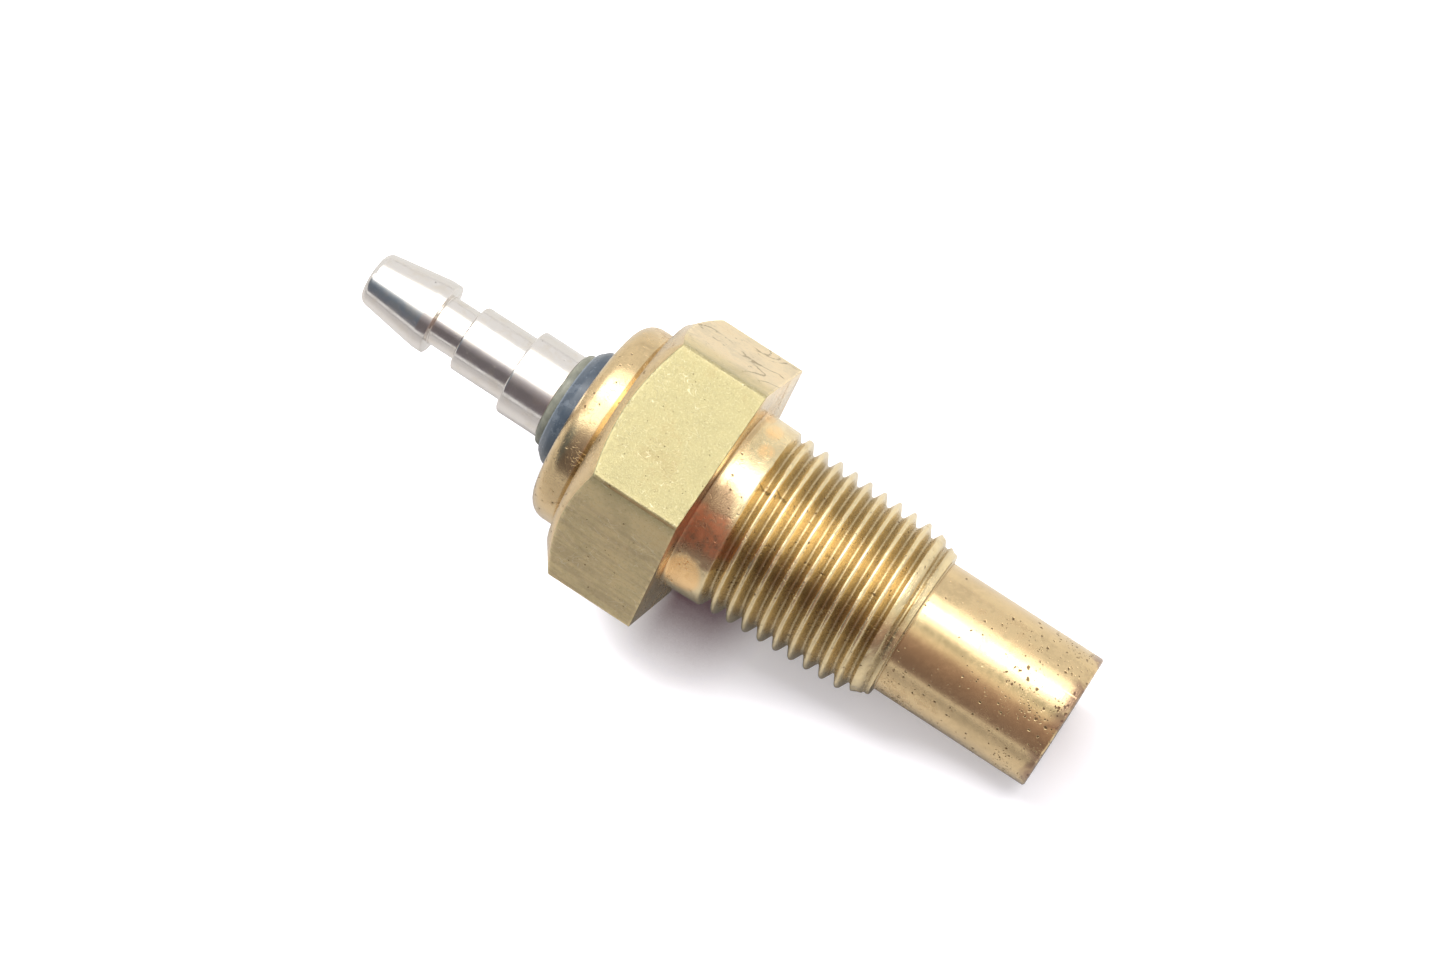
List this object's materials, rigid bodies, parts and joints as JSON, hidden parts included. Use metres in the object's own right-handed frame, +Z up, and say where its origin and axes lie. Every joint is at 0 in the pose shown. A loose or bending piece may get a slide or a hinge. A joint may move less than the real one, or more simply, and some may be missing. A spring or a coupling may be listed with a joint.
{
  "type": "oil temperature switch",
  "caption": "Brass screw-in oil temperature switch: hexagon body, taper thread, slim blind bulb, rolled collar, rubber seal and plated bullet terminal.",
  "frame": {"origin": "centre of the bounding box on the floor that the part lies on", "axes": "+Z up; +X along the part's length from the terminal to the bulb, which lies about 9 degrees nose down; Y across"},
  "size_m": [0.042, 0.0162, 0.0147],
  "materials": {
    "body_brass": "turned, worn satin with tarnish",
    "terminal_nickel": "bright nickel plate",
    "washer_fibre": "matt fibre",
    "seal_rubber": "satin rubber",
    "bush_resin": "moulded resin",
    "contact_brass": "stamped, clean",
    "sleeve_film": "rolled insulating film",
    "pellet_oxide": "sintered oxide",
    "spring_steel": "plain wire"
  },
  "bodies": {
    "root": {"body": "body_brass", "terminal_pin": "terminal_nickel", "terminal_washer": "washer_fibre", "seal_ring": "seal_rubber", "insulator_bush": "bush_resin", "contact_plate": "contact_brass", "insulating_sleeve": "sleeve_film", "lower_contact": "contact_brass", "thermistor_pellet": "pellet_oxide", "upper_contact": "contact_brass", "contact_spring": "spring_steel"}
  },
  "joints": []
}
